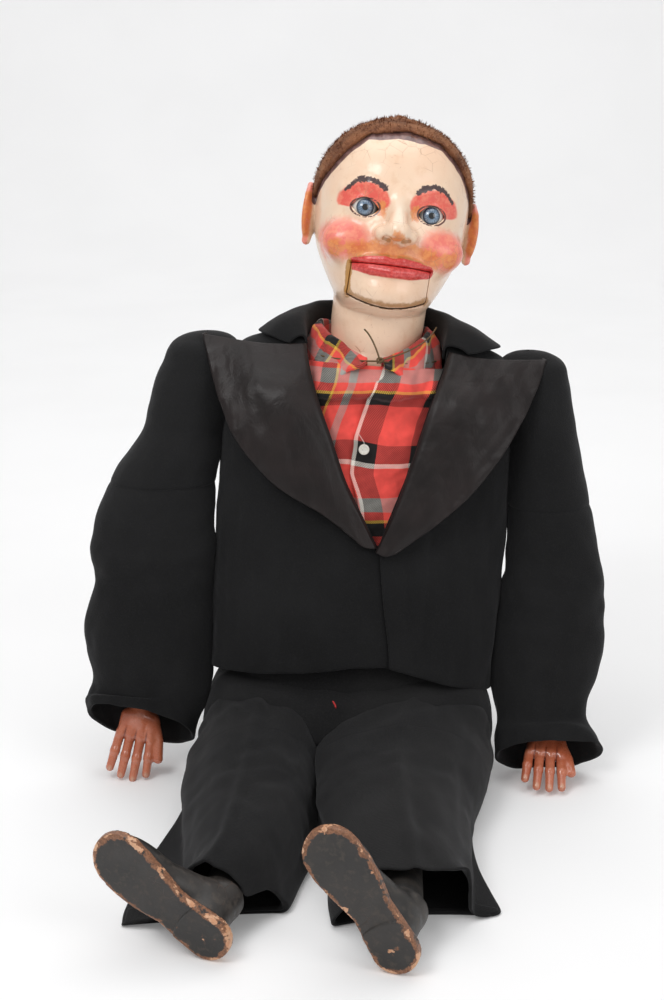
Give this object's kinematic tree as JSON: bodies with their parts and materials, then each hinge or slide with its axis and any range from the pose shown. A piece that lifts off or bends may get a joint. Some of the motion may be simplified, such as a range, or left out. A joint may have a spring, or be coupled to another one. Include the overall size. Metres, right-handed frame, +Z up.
{
  "type": "ventriloquist dummy",
  "caption": "Seated ventriloquist's dummy with a moving jaw and eyes on a control stick, a hollow torso open at the back, jointed limbs, and a tailcoat-style suit with satin lapels.",
  "frame": {"origin": "middle of the flat underside of the seat, where the figure rests on the floor", "axes": "+Z up, -Y the way the figure faces and its feet point, +X towards the figure's own left hand"},
  "size_m": [0.5445, 0.661, 0.6881],
  "materials": {
    "bare_wood": "bare, sawn",
    "face_paint": "oil paint under yellowed varnish, on a wood-composition shell",
    "hand_paint": "glossy flesh paint",
    "hair": "short brown pile",
    "felt": "felt",
    "black_wool": "black wool",
    "trouser_wool": "black wool",
    "satin": "dark brown-black satin",
    "plaid_cotton": "red plaid cotton flannel",
    "string": "brown twine",
    "button_white": "glossy",
    "steel": "plain",
    "spring_brass": "plain",
    "black_composition": "black paint on composition, chipped",
    "eye_glass": "opaque glass eye"
  },
  "bodies": {
    "torso": {"torso_front_shell": "bare_wood", "torso_back_shell": "bare_wood", "shoulder_board": "bare_wood", "shoulder_blocks": "bare_wood", "shoulder_bolts": "steel", "neck_socket": "bare_wood", "seat_board": "bare_wood", "hand_hole_frame": "bare_wood", "jacket_front_right": "black_wool", "jacket_front_left": "black_wool", "jacket_back": "black_wool", "jacket_collar": "black_wool", "lapel_right": "satin", "lapel_left": "satin", "shirt_front": "plaid_cotton", "shirt_collar": "plaid_cotton", "collar_string": "string", "shirt_button": "button_white", "hip_blocks": "bare_wood", "hip_axle": "steel", "trousers_seat": "trouser_wool"},
    "neck": {"neck_washer": "felt"},
    "head": {"head_shell": "face_paint", "hair_cap": "hair", "mechanism_frame": "bare_wood", "jaw_axle": "steel", "jaw_spring": "spring_brass", "head_stick": "bare_wood"},
    "jaw": {"jaw_shell": "face_paint", "jaw_block": "bare_wood"},
    "trigger": {"jaw_trigger": "bare_wood"},
    "eye_rocker": {"eye_lever": "bare_wood"},
    "eye_right": {"eye_right": "eye_glass"},
    "eye_left": {"eye_left": "eye_glass"},
    "tie_bar": {"eye_tie_bar": "bare_wood"},
    "upper_arm_right": {"upper_arm_right": "bare_wood", "upper_sleeve_right": "black_wool", "elbow_pin_right": "steel"},
    "forearm_right": {"forearm_right": "bare_wood", "lower_sleeve_right": "black_wool"},
    "hand_right": {"hand_right": "hand_paint"},
    "thigh_right": {"thigh_right": "bare_wood", "thigh_cloth_right": "trouser_wool", "knee_pin_right": "steel"},
    "lower_leg_right": {"lower_leg_right": "bare_wood", "shin_cloth_right": "trouser_wool", "shoe_right": "black_composition"},
    "upper_arm_left": {"upper_arm_left": "bare_wood", "upper_sleeve_left": "black_wool", "elbow_pin_left": "steel"},
    "forearm_left": {"forearm_left": "bare_wood", "lower_sleeve_left": "black_wool"},
    "hand_left": {"hand_left": "hand_paint"},
    "thigh_left": {"thigh_left": "bare_wood", "thigh_cloth_left": "trouser_wool", "knee_pin_left": "steel"},
    "lower_leg_left": {"lower_leg_left": "bare_wood", "shin_cloth_left": "trouser_wool", "shoe_left": "black_composition"}
  },
  "joints": [
    {"name": "neck_turn", "type": "hinge", "parent": "torso", "child": "neck", "pos_m": [0.02556, 0.0036, 0.42746], "axis": [0.0687, 0.1736, 0.9824], "range_deg": [-60, 60]},
    {"name": "head_nod", "type": "hinge", "parent": "neck", "child": "head", "pos_m": [0.02556, 0.0036, 0.42746], "axis": [0.9898, 0.0389, -0.1369], "range_deg": [-12, 14]},
    {"name": "jaw_open", "type": "hinge", "parent": "head", "child": "jaw", "pos_m": [0.03996, 0.03848, 0.54148], "axis": [0.9898, 0.0389, -0.1369], "range_deg": [0, 12], "stiffness_Nm_per_rad": 0.15, "springref_deg": -20.05},
    {"name": "trigger_pull", "type": "hinge", "parent": "head", "child": "trigger", "pos_m": [0.02573, -0.01852, 0.33115], "axis": [-0.9898, -0.0389, 0.1369], "range_deg": [0, 20.01]},
    {"name": "eye_left_turn", "type": "hinge", "parent": "head", "child": "eye_left", "pos_m": [0.08296, -0.02243, 0.58673], "axis": [0.123, 0.2504, 0.9603], "range_deg": [-20, 20]},
    {"name": "eye_right_turn", "type": "hinge", "parent": "head", "child": "eye_right", "pos_m": [0.01565, -0.02507, 0.59605], "axis": [0.123, 0.2504, 0.9603], "range_deg": [-20, 20]},
    {"name": "tie_bar_swing", "type": "hinge", "parent": "eye_left", "child": "tie_bar", "pos_m": [0.0811, 0.00272, 0.58042], "axis": [0.123, 0.2504, 0.9603], "range_deg": [-20, 20]},
    {"name": "eye_lever_rock", "type": "hinge", "parent": "head", "child": "eye_rocker", "pos_m": [0.00332, -0.01473, 0.35282], "axis": [-0.9898, -0.0389, 0.1369], "range_deg": [-20, 20]},
    {"name": "shoulder_right", "type": "hinge", "parent": "torso", "child": "upper_arm_right", "pos_m": [-0.12951, -0.00509, 0.38894], "axis": [-0.9976, 0, 0.0698], "range_deg": [-25, 100]},
    {"name": "elbow_right", "type": "hinge", "parent": "upper_arm_right", "child": "forearm_right", "pos_m": [-0.21442, -0.05343, 0.23547], "axis": [-0.9976, 0, 0.0698], "range_deg": [0, 80]},
    {"name": "wrist_right", "type": "hinge", "parent": "forearm_right", "child": "hand_right", "pos_m": [-0.21718, -0.07855, 0.08131], "axis": [-0.9998, -0.0082, 0.0192], "range_deg": [-18, 18]},
    {"name": "hip_right", "type": "hinge", "parent": "torso", "child": "thigh_right", "pos_m": [-0.056, -0.089, 0.06], "axis": [1, 0, 0], "range_deg": [-15, 65]},
    {"name": "knee_right", "type": "hinge", "parent": "thigh_right", "child": "lower_leg_right", "pos_m": [-0.08862, -0.26749, 0.04584], "axis": [0.9838, -0.1787, -0.0142], "range_deg": [0, 85]},
    {"name": "shoulder_left", "type": "hinge", "parent": "torso", "child": "upper_arm_left", "pos_m": [0.17375, -0.00509, 0.36773], "axis": [-0.9976, 0, 0.0698], "range_deg": [-25, 100]},
    {"name": "elbow_left", "type": "hinge", "parent": "upper_arm_left", "child": "forearm_left", "pos_m": [0.22451, -0.05343, 0.20478], "axis": [-0.9976, 0, 0.0698], "range_deg": [0, 80]},
    {"name": "wrist_left", "type": "hinge", "parent": "forearm_left", "child": "hand_left", "pos_m": [0.21455, -0.07299, 0.0481], "axis": [-0.998, -0.0008, 0.0635], "range_deg": [-18, 10]},
    {"name": "hip_left", "type": "hinge", "parent": "torso", "child": "thigh_left", "pos_m": [0.056, -0.089, 0.06], "axis": [1, 0, 0], "range_deg": [-15, 65]},
    {"name": "knee_left", "type": "hinge", "parent": "thigh_left", "child": "lower_leg_left", "pos_m": [0.05141, -0.27048, 0.04711], "axis": [0.9997, -0.0252, -0.0018], "range_deg": [0, 85]}
  ],
  "couplings": [
    {"joint": "trigger_pull", "follows": "jaw_open", "ratio": 1.6667},
    {"joint": "eye_right_turn", "follows": "eye_left_turn", "ratio": 1},
    {"joint": "tie_bar_swing", "follows": "eye_left_turn", "ratio": -1},
    {"joint": "eye_lever_rock", "follows": "eye_left_turn", "ratio": 1}
  ]
}
